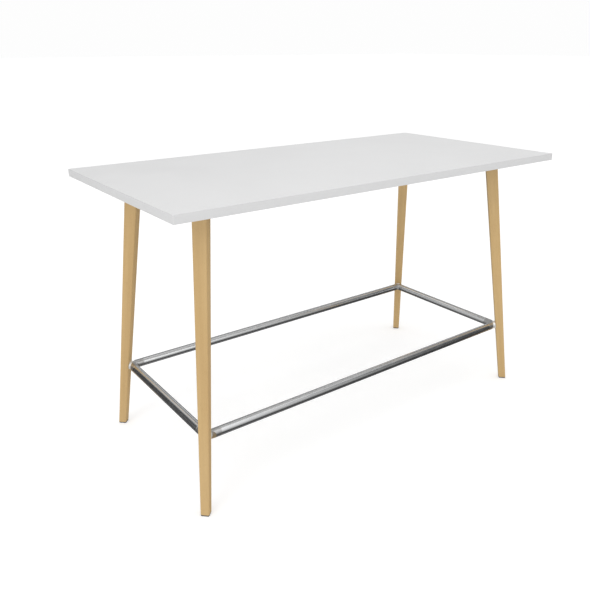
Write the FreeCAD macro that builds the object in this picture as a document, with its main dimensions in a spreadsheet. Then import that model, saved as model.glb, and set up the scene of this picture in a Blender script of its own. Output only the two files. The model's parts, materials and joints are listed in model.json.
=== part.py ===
import FreeCAD, Part
import math
import os
import Sketcher

# Standing meeting table: a laminated board on a hidden steel underframe, four splayed
# and tapered wooden legs, and a round foot rail that runs from leg to leg.
# Millimetres, +Z up. The origin is on the floor under the middle of the table top,
# +X runs along the top and +Y across it, towards the back.

# Driving dimensions. Each can be changed by itself.
SIZES = {
    # table top
    "top_length": 1800,
    "top_width": 900,
    "top_thickness": 28,
    "table_height": 1100,
    "band_thickness": 2,
    "band_round": 0.8,
    # legs: the head is set in from both edges, the foot stands further out
    "leg_inset": 182.5,
    "leg_splay": 104.5,
    "leg_head": 50,
    "leg_foot": 32,
    "leg_edge_round": 5,
    # underframe of rectangular tube, welded over the spigots of the corner brackets
    "rail_depth": 40,
    "rail_width": 20,
    "rail_wall": 1.5,
    "plate_thickness": 5,
    "plate_overhang": 3,
    "plate_wing": 62,
    "plate_tail": 100,
    "hub_setback": 52,
    "hub_reach": 42,
    "spigot_reach": 35,
    "spigot_gap": 0.2,
    "seat_thickness": 5,
    "seat_depth": 42,
    "gusset_thickness": 4,
    # round foot rail, its corner connectors and the collars between them and the legs
    "rest_height": 277,
    "rest_radius": 16.85,
    "rest_wall": 2,
    "connector_reach": 50,
    "connector_spigot": 34,
    "spigot_play": 0.15,
    "flat_setback": 8,
    "collar_radius": 18,
    "collar_length": 14,
    # M8 bolt of each connector, which is screwed into the leg
    "bolt_radius": 4,
    "bolt_clearance": 0.5,
    "bolt_length": 34,
    "bolt_head_radius": 6.5,
    "bolt_head_height": 8,
    "bolt_key_flat": 3,
    "bolt_key_depth": 4,
    "bolt_web": 7,
    "counterbore_clearance": 1,
    "thread_gap": 0.05,
    "hole_spare": 2,
    # levelling glides
    "glide_width": 31,
    "glide_thickness": 4,
    "glide_corner": 4,
    "glide_gap": 0.3,
    "stud_length": 24,
    "stud_head_flat": 6.5,
    "stud_head_height": 2.5,
    "stud_head_fit": 0.05,
}

# Places that follow from the driving dimensions. At each corner the pieces share one
# local frame: its origin is on the floor below the middle of the leg's head, X points
# outwards along the diagonal of the square leg, Y across it and Z up.
PLACES = {
    "corner_x": "sizes.top_length / 2 - sizes.leg_inset",
    "corner_y": "sizes.top_width / 2 - sizes.leg_inset",
    "underside": "sizes.table_height - sizes.top_thickness",
    "frame_bottom": "underside - sizes.rail_depth",
    "leg_top": "underside - sizes.plate_thickness",
    "leg_end": "sizes.glide_thickness + sizes.glide_gap",
    "leg_drop": "leg_top - leg_end",
    "foot_out": "sizes.leg_splay * sqrt(2)",
    # how far the leg's inner face moves outwards for each unit of drop
    "face_lean": "(foot_out + (sizes.leg_head - sizes.leg_foot) / 2) / leg_drop",
    "face_slant": "sqrt(1 + face_lean * face_lean)",
    "head_face": "-sizes.leg_head / 2",
    "rest_face": "head_face + face_lean * (leg_top - sizes.rest_height)",
    # underframe
    "hub_x": "corner_x - sizes.hub_setback / sqrt(2)",
    "hub_y": "corner_y - sizes.hub_setback / sqrt(2)",
    "spigot_depth": "sizes.rail_depth - 2 * sizes.rail_wall - 2 * sizes.spigot_gap",
    "spigot_width": "sizes.rail_width - 2 * sizes.rail_wall - 2 * sizes.spigot_gap",
    "seat_half": "sizes.leg_head / 2 - sizes.leg_edge_round",
    "seat_level": "sizes.seat_thickness * face_slant",
    # foot rail
    "rest_bore": "sizes.rest_radius - sizes.rest_wall",
    "flat_along": "rest_face - sizes.collar_length",
    "rest_cross": "flat_along + sizes.flat_setback",
    "rest_x": "corner_x + rest_cross / sqrt(2)",
    "rest_y": "corner_y + rest_cross / sqrt(2)",
    "bolt_seat": "flat_along - sizes.bolt_web",
    "bolt_hole": "sizes.bolt_radius + sizes.bolt_clearance",
    "bolt_end": "bolt_seat + sizes.bolt_length",
    "threaded_hole": "sizes.bolt_radius + sizes.thread_gap",
}

CORNERS = {
    "front_left": (-1, -1),
    "front_right": (1, -1),
    "back_left": (-1, 1),
    "back_right": (1, 1),
}
SIDES = (-1, 1)

ACROSS_Y = FreeCAD.Vector(0, 1, 0)
UP_Z = FreeCAD.Vector(0, 0, 1)
ORIGIN = FreeCAD.Vector(0, 0, 0)
QUARTER_TURN = 90
HALF_QUARTER = 45
TOLERANCE = 1e-4
HEXAGON = 6

doc = FreeCAD.newDocument("standing_meeting_table")


# ---------------------------------------------------------------- sheets

def fill_sheet(name, cells, prefix=""):
    """A spreadsheet with a name in column A and its value, or formula, in column B."""
    sheet = doc.addObject("Spreadsheet::Sheet", name)
    for row, (alias, content) in enumerate(cells.items(), start=1):
        sheet.set(f"A{row}", alias)
        sheet.set(f"B{row}", f"{prefix}{content}")
        sheet.setAlias(f"B{row}", alias)
    doc.recompute()
    return sheet


sizes = fill_sheet("sizes", SIZES)
places = fill_sheet("places", PLACES, prefix="=")


def value(expression):
    """The number that an expression on the two sheets gives."""
    return float(sizes.evalExpression(str(expression)))


# ---------------------------------------------------------------- sketches and features

def new_body(label):
    body = doc.addObject("PartDesign::Body", label)
    body.Label = label
    return body


def place(part, x="0", y="0", z="0", turn=None):
    """Put a part at a point given by three expressions, turned about the vertical."""
    part.Placement = FreeCAD.Placement(ORIGIN, turn or FreeCAD.Rotation())
    part.setExpression("Placement.Base.x", x)
    part.setExpression("Placement.Base.y", y)
    part.setExpression("Placement.Base.z", z)


def corner_turn(corner):
    """The turn about the vertical that points local X out at the corner."""
    to_x, to_y = CORNERS[corner]
    return FreeCAD.Rotation(UP_Z, math.degrees(math.atan2(to_y, to_x)))


def place_at_corner(part, corner):
    to_x, to_y = CORNERS[corner]
    x, y = f"{to_x} * places.corner_x", f"{to_y} * places.corner_y"
    place(part, x, y, "0", corner_turn(corner))


def new_sketch(body, plane, name, offset=("0", "0", "0"), turn=None):
    """A sketch on one of the body's own origin planes.

    The offset is along the plane's axes, the last one along its normal.
    """
    support = next(item for item in body.Origin.OriginFeatures if item.Role == plane)
    sketch = body.newObject("Sketcher::SketchObject", name)
    sketch.AttachmentSupport = [(support, "")]
    sketch.MapMode = "FlatFace"
    sketch.AttachmentOffset = FreeCAD.Placement(ORIGIN, turn or FreeCAD.Rotation())
    for axis, distance in zip("xyz", offset):
        sketch.setExpression(f"AttachmentOffset.Base.{axis}", distance)
    return sketch


def bind(sketch, constraint, expression):
    index = sketch.addConstraint(constraint)
    sketch.setExpression(f"Constraints[{index}]", expression)


def pin_point(sketch, geometry, point, x, y):
    """Hold a sketch point at two expressions, measured from the sketch's origin."""
    bind(sketch, Sketcher.Constraint("DistanceX", -1, 1, geometry, point, value(x)), x)
    bind(sketch, Sketcher.Constraint("DistanceY", -1, 1, geometry, point, value(y)), y)


def draw_outline(sketch, corners):
    """A closed outline of straight lines through corners given as expressions."""
    points = [FreeCAD.Vector(value(x), value(y), 0) for x, y in corners]
    first = sketch.GeometryCount
    count = len(points)
    for step, point in enumerate(points):
        sketch.addGeometry(Part.LineSegment(point, points[(step + 1) % count]))
    for step in range(count):
        following = first + (step + 1) % count
        sketch.addConstraint(Sketcher.Constraint("Coincident", first + step, 2, following, 1))
    for step, (x, y) in enumerate(corners):
        pin_point(sketch, first + step, 1, x, y)


def draw_rectangle(sketch, x_low, x_high, y_low, y_high):
    draw_outline(sketch, [(x_low, y_low), (x_high, y_low), (x_high, y_high), (x_low, y_high)])


def draw_round_square(sketch, width, radius):
    """A square with rounded corners about the sketch's origin."""
    inner = f"({width} / 2 - {radius})"
    quadrants = ((1, 1), (-1, 1), (-1, -1), (1, -1))
    arcs = []
    for number, (to_x, to_y) in enumerate(quadrants):
        centre = FreeCAD.Vector(to_x * value(inner), to_y * value(inner), 0)
        circle = Part.Circle(centre, UP_Z, value(radius))
        start = number * math.pi / 2
        arc = sketch.addGeometry(Part.ArcOfCircle(circle, start, start + math.pi / 2))
        pin_point(sketch, arc, 3, f"{to_x} * {inner}", f"{to_y} * {inner}")
        bind(sketch, Sketcher.Constraint("Radius", arc, value(radius)), radius)
        arcs.append(arc)
    for arc, following in zip(arcs, arcs[1:] + arcs[:1]):
        end = sketch.getPoint(arc, 2)
        side = sketch.addGeometry(Part.LineSegment(end, sketch.getPoint(following, 1)))
        sketch.addConstraint(Sketcher.Constraint("Tangent", arc, 2, side, 1))
        sketch.addConstraint(Sketcher.Constraint("Tangent", side, 2, following, 1))


def draw_circle(sketch, radius):
    """A circle about the sketch's origin."""
    circle = sketch.addGeometry(Part.Circle(ORIGIN, UP_Z, value(radius)))
    pin_point(sketch, circle, 3, "0", "0")
    bind(sketch, Sketcher.Constraint("Radius", circle, value(radius)), radius)


def draw_hexagon(sketch, flat):
    """A regular hexagon about the sketch's origin, by the distance to its flats."""
    corners = []
    for step in range(HEXAGON):
        angle = step * 2 * math.pi / HEXAGON
        x = f"{flat} * {math.cos(angle):.9f} * 2 / sqrt(3)"
        y = f"{flat} * {math.sin(angle):.9f} * 2 / sqrt(3)"
        corners.append((x, y))
    draw_outline(sketch, corners)


def add_pad(body, sketch, length, both_ways=False, back=None):
    """A pad along the sketch's normal. It can also reach back against the normal."""
    pad = body.newObject("PartDesign::Pad", "Pad")
    pad.Profile = sketch
    pad.SideType = "Symmetric" if both_ways else "One side"
    if back:
        pad.SideType = "Two sides"
        pad.setExpression("Length2", back)
    pad.setExpression("Length", length)
    doc.recompute()


def add_pocket(body, sketch, length, both_ways=False, reverse=False):
    """A cut from the sketch, against its normal unless reversed. It must take some away."""
    before = body.Shape.Volume
    pocket = body.newObject("PartDesign::Pocket", "Pocket")
    pocket.Profile = sketch
    pocket.SideType = "Symmetric" if both_ways else "One side"
    pocket.Reversed = reverse
    pocket.setExpression("Length", length)
    doc.recompute()
    if body.Shape.Volume > before - TOLERANCE:
        raise RuntimeError(f"a pocket of {body.Label} cuts nothing")


def add_fillet(body, wanted, radius):
    """Rounds the edges for which wanted(edge) is true."""
    names = []
    for number, edge in enumerate(body.Shape.Edges, start=1):
        if wanted(edge):
            names.append(f"Edge{number}")
    if not names:
        raise RuntimeError(f"{body.Label} has no edge to round")
    base = body.Tip
    fillet = body.newObject("PartDesign::Fillet", "Fillet")
    fillet.Base = (base, names)
    fillet.setExpression("Radius", radius)
    body.Tip = fillet
    doc.recompute()


def group_at_corners(label, master):
    """One sub-part that holds the same small piece at all four corners."""
    links = []
    for corner in CORNERS:
        link = doc.addObject("App::Link", f"{label}_{corner}")
        link.LinkedObject = master
        place_at_corner(link, corner)
        links.append(link)
    group = doc.addObject("Part::Compound", label)
    group.Label = label
    group.Links = links
    doc.recompute()
    return group


# ---------------------------------------------------------------- table top

def make_board():
    """The board inside its edge bands, with its laminated faces."""
    body = new_body("tabletop_board")
    half_length = "(sizes.top_length / 2 - sizes.band_thickness)"
    half_width = "(sizes.top_width / 2 - sizes.band_thickness)"
    face = new_sketch(body, "XY_Plane", "board_outline")
    draw_rectangle(face, f"-{half_length}", half_length, f"-{half_width}", half_width)
    add_pad(body, face, "sizes.top_thickness")
    place(body, z="places.underside")
    return body


def make_band(label, length, to_x, to_y):
    """One edge band, modelled along X with its outer face towards local -Y."""
    body = new_body(label)
    half = f"{length} / 2"
    outline = new_sketch(body, "XY_Plane", "band_outline")
    draw_rectangle(outline, f"-{half}", half, "0", "sizes.band_thickness")
    add_pad(body, outline, "sizes.top_thickness")

    def long_edge_of_outer_face(edge):
        box = edge.BoundBox
        return max(abs(box.YMin), abs(box.YMax)) < TOLERANCE < box.XLength

    add_fillet(body, long_edge_of_outer_face, "sizes.band_round")
    turn = FreeCAD.Rotation(UP_Z, math.degrees(math.atan2(to_x, -to_y)))
    x = f"{to_x} * sizes.top_length / 2"
    y = f"{to_y} * sizes.top_width / 2"
    place(body, x, y, "places.underside", turn)
    return body


def make_bands():
    short = "(sizes.top_width - 2 * sizes.band_thickness)"
    return [
        make_band("edge_band_front", "sizes.top_length", 0, -1),
        make_band("edge_band_back", "sizes.top_length", 0, 1),
        make_band("edge_band_left", short, -1, 0),
        make_band("edge_band_right", short, 1, 0),
    ]


# ---------------------------------------------------------------- underframe

def make_rail(label, half_length, x, y, turn):
    """A rectangular tube along local X, its top face at the board's underside."""
    body = new_body(label)
    section = new_sketch(body, "YZ_Plane", "tube_section")
    half = "sizes.rail_width / 2"
    draw_rectangle(section, f"-{half}", half, "-sizes.rail_depth", "0")
    inner = f"({half} - sizes.rail_wall)"
    draw_rectangle(
        section, f"-{inner}", inner,
        "-sizes.rail_depth + sizes.rail_wall", "-sizes.rail_wall",
    )
    add_pad(body, section, f"2 * ({half_length})", both_ways=True)
    place(body, x, y, "places.underside", turn)
    return body


def make_rails():
    rails = []
    half = "places.hub_x - sizes.hub_reach"
    for label, side in (("front", -1), ("back", 1)):
        y = f"{side} * places.hub_y"
        rails.append(make_rail(f"long_rail_{label}", half, "0", y, FreeCAD.Rotation()))
    half = "places.hub_y - sizes.hub_reach"
    crosswise = FreeCAD.Rotation(UP_Z, QUARTER_TURN)
    for label, side in (("left", -1), ("right", 1)):
        x = f"{side} * places.hub_x"
        rails.append(make_rail(f"short_rail_{label}", half, x, "0", crosswise))
    return rails


def arm_turn(side):
    """Turns a sketch on the YZ plane so that its normal runs down one of the two arms."""
    return FreeCAD.Rotation(ACROSS_Y, 2 * QUARTER_TURN - side * HALF_QUARTER)


def seat_face(drop):
    """Local X of the leg's inner face, by the drop below the leg's top."""
    return f"places.head_face + places.face_lean * ({drop})"


def make_bracket(corner):
    """The welded steel bracket of one corner, in the leg's local frame.

    A flat plate lies under the board and over the leg's head. A seat hangs from it
    along the leaning inner face of the leg. Behind the seat two arms take the ends of
    the rails over their spigots, and two gussets tie the arms to the seat.
    """
    body = new_body(f"corner_bracket_{corner}")
    add_plate(body)
    add_seat(body)
    for side in SIDES:
        add_gusset(body, side)
        add_arm(body, side)
    place_at_corner(body, corner)
    return body


def add_plate(body):
    """The plate, from past the leg's outer face to a tail between the two rails."""
    plate = new_sketch(body, "XY_Plane", "plate_outline", ("0", "0", "places.leg_top"))
    front = "(sizes.leg_head / 2 + sizes.plate_overhang)"
    tail = "-sizes.plate_tail"
    tail_half = "sizes.rail_width / 2"
    draw_outline(plate, [
        (front, f"-{front}"),
        (front, front),
        ("0", "sizes.plate_wing"),
        ("places.head_face", "sizes.plate_wing"),
        (tail, tail_half),
        (tail, f"-{tail_half}"),
        ("places.head_face", "-sizes.plate_wing"),
        ("0", "-sizes.plate_wing"),
    ])
    add_pad(body, plate, "sizes.plate_thickness")


def add_seat(body):
    """The seat, as wide as the flat of the leg's head. Its sketch's Y axis is the vertical."""
    seat = new_sketch(body, "XZ_Plane", "seat_profile")
    top = "places.leg_top"
    low = "places.leg_top - sizes.seat_depth"
    face_low = seat_face("sizes.seat_depth")
    draw_outline(seat, [
        ("places.head_face", top),
        ("places.head_face - places.seat_level", top),
        (f"{face_low} - places.seat_level", low),
        (face_low, low),
    ])
    add_pad(body, seat, "2 * places.seat_half", both_ways=True)


def add_gusset(body, side):
    """A web at one edge of the seat, from the middle of its thickness into the arm."""
    level = f"{side} * (places.seat_half - sizes.gusset_thickness / 2)"
    web = new_sketch(body, "XZ_Plane", "gusset_profile", ("0", "0", level))
    in_seat = seat_face("sizes.rail_depth - sizes.plate_thickness")
    in_arm = "-sizes.hub_setback - places.seat_half"
    draw_outline(web, [
        ("places.head_face - places.seat_level / 2", "places.leg_top"),
        (in_arm, "places.leg_top"),
        (in_arm, "places.frame_bottom"),
        (f"{in_seat} - places.seat_level / 2", "places.frame_bottom"),
    ])
    add_pad(body, web, "sizes.gusset_thickness", both_ways=True)


def add_arm(body, side):
    """One arm, as deep as the rails, and the spigot that goes inside the rail's tube."""
    hub = ("0", "0", "-sizes.hub_setback")
    arm = new_sketch(body, "YZ_Plane", "arm_section", hub, arm_turn(side))
    half = "sizes.rail_width / 2"
    draw_rectangle(arm, f"-{half}", half, "places.frame_bottom", "places.underside")
    add_pad(body, arm, "sizes.hub_reach")
    spigot = new_sketch(body, "YZ_Plane", "spigot_section", hub, arm_turn(side))
    half = "places.spigot_width / 2"
    inset = "(sizes.rail_depth - places.spigot_depth) / 2"
    low = f"places.frame_bottom + {inset}"
    high = f"places.underside - {inset}"
    draw_rectangle(spigot, f"-{half}", half, low, high)
    add_pad(body, spigot, "sizes.hub_reach + sizes.spigot_reach")


# ---------------------------------------------------------------- legs

def make_leg(corner):
    """A square leg turned to the diagonal, tapered from its head to its smaller foot.

    Its side view is padded, the other two faces are cut to their taper, and the four long
    edges are rounded. Both ends are level. Blind holes take the bolt of the foot rail and
    the stud of the glide.
    """
    body = new_body(f"leg_{corner}")
    head = "(sizes.leg_head / 2)"
    foot = "(sizes.leg_foot / 2)"
    view = new_sketch(body, "XZ_Plane", "side_view")
    draw_outline(view, [
        (f"-{head}", "places.leg_top"),
        (f"places.foot_out - {foot}", "places.leg_end"),
        (f"places.foot_out + {foot}", "places.leg_end"),
        (head, "places.leg_top"),
    ])
    add_pad(body, view, "sizes.leg_head", both_ways=True)
    tapers = new_sketch(body, "YZ_Plane", "tapers")
    for side in SIDES:
        draw_outline(tapers, [
            (f"{side} * {head}", "places.leg_top"),
            (f"{side} * {foot}", "places.leg_end"),
            (f"{side} * sizes.leg_head", "places.leg_end"),
            (f"{side} * sizes.leg_head", "places.leg_top"),
        ])
    add_pocket(body, tapers, "4 * places.foot_out", both_ways=True)

    def long_edge(edge):
        return edge.BoundBox.ZLength > value("places.leg_drop") - TOLERANCE

    add_fillet(body, long_edge, "sizes.leg_edge_round")
    before_face = "places.rest_face - sizes.leg_edge_round"
    rest = new_sketch(body, "YZ_Plane", "rest_hole", ("0", "sizes.rest_height", before_face))
    draw_circle(rest, "places.threaded_hole")
    add_pocket(body, rest, f"places.bolt_end + sizes.hole_spare - ({before_face})", reverse=True)
    end = new_sketch(body, "XY_Plane", "foot_hole", ("places.foot_out", "0", "places.leg_end"))
    draw_circle(end, "places.threaded_hole")
    add_pocket(body, end, "sizes.stud_length + sizes.hole_spare", reverse=True)
    place_at_corner(body, corner)
    return body


# ---------------------------------------------------------------- foot rail

def make_tube(label, half_length, x, y, turn):
    """One round tube of the foot rail, along local X, from connector to connector."""
    body = new_body(label)
    section = new_sketch(body, "YZ_Plane", "tube_section")
    draw_circle(section, "sizes.rest_radius")
    draw_circle(section, "places.rest_bore")
    add_pad(body, section, f"2 * ({half_length})", both_ways=True)
    place(body, x, y, "sizes.rest_height", turn)
    return body


def make_tubes():
    tubes = []
    half = "places.rest_x - sizes.connector_reach"
    for label, side in (("front", -1), ("back", 1)):
        y = f"{side} * places.rest_y"
        tubes.append(make_tube(f"foot_rail_{label}", half, "0", y, FreeCAD.Rotation()))
    half = "places.rest_y - sizes.connector_reach"
    crosswise = FreeCAD.Rotation(UP_Z, QUARTER_TURN)
    for label, side in (("left", -1), ("right", 1)):
        x = f"{side} * places.rest_x"
        tubes.append(make_tube(f"foot_rail_{label}", half, x, "0", crosswise))
    return tubes


def make_connector(corner):
    """The cast corner of the foot rail, in the leg's local frame.

    Two barrels, flush with the tubes, meet at a right angle and are cut off across the
    diagonal by a flat for the collar. Spigots carry the tubes. The bolt goes through
    from the inner corner, its head sunk in a counterbore.
    """
    body = new_body(f"corner_connector_{corner}")
    crossing = ("0", "sizes.rest_height", "places.rest_cross")
    for side in SIDES:
        barrel = new_sketch(body, "YZ_Plane", "barrel_section", crossing, arm_turn(side))
        draw_circle(barrel, "sizes.rest_radius")
        # behind the crossing each barrel reaches just past the flat
        add_pad(body, barrel, "sizes.connector_reach", back="sizes.rest_radius - sizes.flat_setback")
    for side in SIDES:
        spigot = new_sketch(body, "YZ_Plane", "spigot_section", crossing, arm_turn(side))
        draw_circle(spigot, "places.rest_bore - sizes.spigot_play")
        add_pad(body, spigot, "sizes.connector_reach + sizes.connector_spigot")
    flat = new_sketch(body, "XY_Plane", "flat_cut", ("places.flat_along", "0", "sizes.rest_height"))
    reach = "(2 * sizes.connector_reach)"
    draw_rectangle(flat, "0", reach, f"-{reach}", reach)
    add_pocket(body, flat, "4 * sizes.rest_radius", both_ways=True)
    bore = new_sketch(body, "YZ_Plane", "bolt_hole", ("0", "sizes.rest_height", "places.flat_along"))
    draw_circle(bore, "places.bolt_hole")
    add_pocket(body, bore, "2 * sizes.rest_radius")
    sunk = new_sketch(body, "YZ_Plane", "counterbore", ("0", "sizes.rest_height", "places.bolt_seat"))
    draw_circle(sunk, "sizes.bolt_head_radius + sizes.counterbore_clearance")
    add_pocket(body, sunk, "2 * sizes.rest_radius")
    place_at_corner(body, corner)
    return body


def make_collars():
    """Round spacers between connectors and legs, cut aslant to sit on the leaning faces."""
    body = new_body("rail_collar")
    start = ("0", "sizes.rest_height", "places.flat_along")
    disc = new_sketch(body, "YZ_Plane", "disc", start)
    draw_circle(disc, "sizes.collar_radius")
    draw_circle(disc, "places.bolt_hole")
    add_pad(body, disc, "sizes.collar_length + sizes.collar_radius")
    slant = new_sketch(body, "XZ_Plane", "slanted_end", ("places.rest_face", "sizes.rest_height", "0"))
    rise = "2 * sizes.collar_radius"
    draw_outline(slant, [
        (f"{rise} * places.face_lean", f"-{rise}"),
        (rise, f"-{rise}"),
        (rise, rise),
        (f"-{rise} * places.face_lean", rise),
    ])
    add_pocket(body, slant, "4 * sizes.collar_radius", both_ways=True)
    return group_at_corners("rail_collars", body)


def make_rest_bolts():
    """Cap screws through connector and collar into the leg."""
    body = new_body("rest_bolt")
    head_end = ("0", "sizes.rest_height", "places.bolt_seat - sizes.bolt_head_height")
    head = new_sketch(body, "YZ_Plane", "head", head_end)
    draw_circle(head, "sizes.bolt_head_radius")
    add_pad(body, head, "sizes.bolt_head_height")
    shank = new_sketch(body, "YZ_Plane", "shank", ("0", "sizes.rest_height", "places.bolt_seat"))
    draw_circle(shank, "sizes.bolt_radius")
    add_pad(body, shank, "sizes.bolt_length")
    key = new_sketch(body, "YZ_Plane", "key_socket", head_end)
    draw_hexagon(key, "sizes.bolt_key_flat")
    add_pocket(body, key, "sizes.bolt_key_depth", reverse=True)
    return group_at_corners("rest_bolts", body)


# ---------------------------------------------------------------- levelling glides

def make_glide_pad(corner):
    """The square foot pad, with a hexagonal pocket for the head of its stud."""
    body = new_body(f"glide_pad_{corner}")
    outline = new_sketch(body, "XY_Plane", "pad_outline", ("places.foot_out", "0", "0"))
    draw_round_square(outline, "sizes.glide_width", "sizes.glide_corner")
    add_pad(body, outline, "sizes.glide_thickness")
    top = ("places.foot_out", "0", "sizes.glide_thickness")
    pocket = new_sketch(body, "XY_Plane", "head_pocket", top)
    draw_hexagon(pocket, "(sizes.stud_head_flat + sizes.stud_head_fit)")
    add_pocket(body, pocket, "sizes.stud_head_height")
    place_at_corner(body, corner)
    return body


def make_glide_stud(corner):
    """The threaded stud of a glide, its head sunk flush in the pad."""
    body = new_body(f"glide_stud_{corner}")
    seat = "sizes.glide_thickness - sizes.stud_head_height"
    head = new_sketch(body, "XY_Plane", "head", ("places.foot_out", "0", seat))
    draw_hexagon(head, "sizes.stud_head_flat")
    add_pad(body, head, "sizes.stud_head_height")
    top = ("places.foot_out", "0", "sizes.glide_thickness")
    shank = new_sketch(body, "XY_Plane", "shank", top)
    draw_circle(shank, "sizes.bolt_radius")
    add_pad(body, shank, "sizes.stud_length")
    place_at_corner(body, corner)
    return body


# ---------------------------------------------------------------- build and write

def build_all():
    """Every sub-part of the table, in the order in which it goes together."""
    built = [make_board(), *make_bands(), *make_rails()]
    for make in (make_bracket, make_leg, make_connector, make_glide_pad, make_glide_stud):
        for corner in CORNERS:
            built.append(make(corner))
    built.extend([*make_tubes(), make_collars(), make_rest_bolts()])
    return built


def check_document(parts):
    """Stop if any object has failed, or a sub-part has no sound shape."""
    doc.recompute()
    for item in doc.Objects:
        if "Invalid" in item.State or "Error" in item.State:
            raise RuntimeError(f"{item.Name} failed: {item.State}")
    for part in parts:
        if part.Shape.isNull() or not part.Shape.isValid():
            raise RuntimeError(f"{part.Label} has no sound shape")


def write_parts(parts):
    os.makedirs("parts", exist_ok=True)
    for part in parts:
        part.Shape.exportStep(f"parts/{part.Label}.step")


table = build_all()
check_document(table)
write_parts(table)
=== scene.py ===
"""The looks of a standing meeting table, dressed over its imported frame.

Shapes are worked out in millimetres and put into the meshes in metres. A corner piece
is worked out in its corner's own frame: X points outwards along the corner's diagonal,
midway between the two sides, Z points up, and the origin is on the floor below the
middle of the leg's head.
"""
import json
import math

import bmesh
import bpy
import numpy as np
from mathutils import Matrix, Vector


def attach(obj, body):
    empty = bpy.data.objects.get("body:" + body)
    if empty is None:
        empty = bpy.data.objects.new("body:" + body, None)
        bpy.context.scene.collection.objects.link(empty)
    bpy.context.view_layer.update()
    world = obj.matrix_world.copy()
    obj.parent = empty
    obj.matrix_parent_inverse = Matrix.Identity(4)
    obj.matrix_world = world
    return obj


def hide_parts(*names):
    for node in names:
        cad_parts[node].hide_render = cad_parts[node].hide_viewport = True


# ---------------------------------------------------------------- sizes, in millimetres

ROOT_2 = math.sqrt(2)
IN_METRES = 0.001
MERGE_WITHIN = 2e-6     # metres
HARD_EDGE = 35          # degrees

# the top
TOP_HALF_LENGTH, TOP_HALF_WIDTH = 900.0, 450.0
TOP_HEIGHT, UNDERSIDE = 1100.0, 1072.0
BAND, BAND_ROUND = 2.0, 0.8

# the legs, whose inner faces lie across the diagonals and lean outwards
CORNER_X, CORNER_Y = 717.5, 267.5
LEG_TOP, LEG_END = 1067.0, 4.3
LEG_LENGTH = LEG_TOP - LEG_END
LEG_HEAD, LEG_FOOT, LEG_ROUND = 50.0, 32.0, 5.0
FOOT_BREAK, HEAD_BREAK = 1.0, 0.8
FOOT_OUT = 104.5 * ROOT_2
FACE_LEAN = (FOOT_OUT + (LEG_HEAD - LEG_FOOT) / 2) / LEG_LENGTH
FACE_SLANT = math.hypot(1, FACE_LEAN)
HEAD_FACE = -LEG_HEAD / 2

# the underframe: rails between the hubs of the corner brackets
RAIL_DEPTH, RAIL_WIDTH, RAIL_WALL, RAIL_ROUND = 40.0, 20.0, 1.5, 2.5
HUB_SETBACK, HUB_REACH = 52.0, 42.0
HUB_X = CORNER_X - HUB_SETBACK / ROOT_2
HUB_Y = CORNER_Y - HUB_SETBACK / ROOT_2
FRAME_BOTTOM = UNDERSIDE - RAIL_DEPTH
SEAT_THICKNESS, SEAT_HALF = 5.0, 20.0
HANGER_DROP, HANGER_RADIUS, HANGER_IN_LEG = 20.0, 5.0, 38.0
HANGER_PITCH, HANGER_THREAD, HANGER_CORE = 1.5, 0.75, 4.3
NUT_FLAT, NUT_HEIGHT, PAST_NUT = 8.5, 8.0, 3.0
SCREW_PLACES = ((-12, -48), (-12, 48), (-86, 0))

# the foot rail: tubes, connectors, collars and their bolts
REST_HEIGHT, REST_RADIUS, REST_WALL = 277.0, 16.85, 2.0
REST_FACE = HEAD_FACE + FACE_LEAN * (LEG_TOP - REST_HEIGHT)
SEAM_BREAK, BORE_BREAK = 0.35, 0.2
COLLAR_RADIUS, COLLAR_LENGTH, COLLAR_ROUND, COLLAR_BORE = 18.0, 14.0, 1.0, 4.5
FLAT_SETBACK, BOLT_WEB = 8.0, 7.0
FLAT_ALONG = REST_FACE - COLLAR_LENGTH
REST_X = CORNER_X + (FLAT_ALONG + FLAT_SETBACK) / ROOT_2
REST_Y = CORNER_Y + (FLAT_ALONG + FLAT_SETBACK) / ROOT_2
CONNECTOR_REACH, SPIGOT_LENGTH, SPIGOT_RADIUS, SPIGOT_BREAK = 50.0, 34.0, 14.7, 1.0
BOLT_RADIUS, BOLT_HEAD, BOLT_HEAD_HEIGHT, BOLT_LENGTH = 4.0, 6.5, 8.0, 34.0
KEY_FLAT, KEY_DEPTH, COUNTERBORE = 3.0, 4.0, 7.5
KNURLS, KNURL_DEPTH = 48, 0.10

# the glides and the sleeves they screw into
GLIDE_WIDTH, GLIDE_CORNER, GLIDE_THICKNESS = 31.0, 4.0, 4.0
STUD_RADIUS, STUD_TOP, STUD_HEAD_LOW, STUD_HEAD_FLAT = 4.0, 28.0, 1.5, 6.5
STUD_PITCH, STUD_THREAD, STUD_TIP = 1.25, 0.65, 2.6
SLEEVE_BORE, SLEEVE_BORE_TOP, SLEEVE_LENGTH = 6.05, 30.0, 22.0
SLEEVE_PLAY, STUD_PLAY, HEAD_PLAY = 0.05, 0.08, 0.05

CORNERS = {
    "front_left": (-1, -1),
    "front_right": (1, -1),
    "back_left": (-1, 1),
    "back_right": (1, 1),
}
SIDES = {"front": (0, -1), "back": (0, 1), "left": (-1, 0), "right": (1, 0)}

# ---------------------------------------------------------------- surfaces


def surface(points, around=True, along=False):
    """Joins a grid of points (rows, columns, 3) into (vertices, four-sided faces).

    `around` joins the last column to the first, and `along` the last row to the first.
    """
    rows, columns = points.shape[:2]
    index = np.arange(rows * columns).reshape(rows, columns)
    if around:
        index = np.concatenate([index, index[:, :1]], axis=1)
    if along:
        index = np.concatenate([index, index[:1]], axis=0)
    faces = np.stack(
        [index[:-1, :-1], index[:-1, 1:], index[1:, 1:], index[1:, :-1]], axis=-1)
    return points.reshape(-1, 3), faces.reshape(-1, 4)


def full_turn(columns):
    """The angles of the columns round a full turn, evenly spaced."""
    return np.arange(columns) * 2 * np.pi / columns


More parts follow.
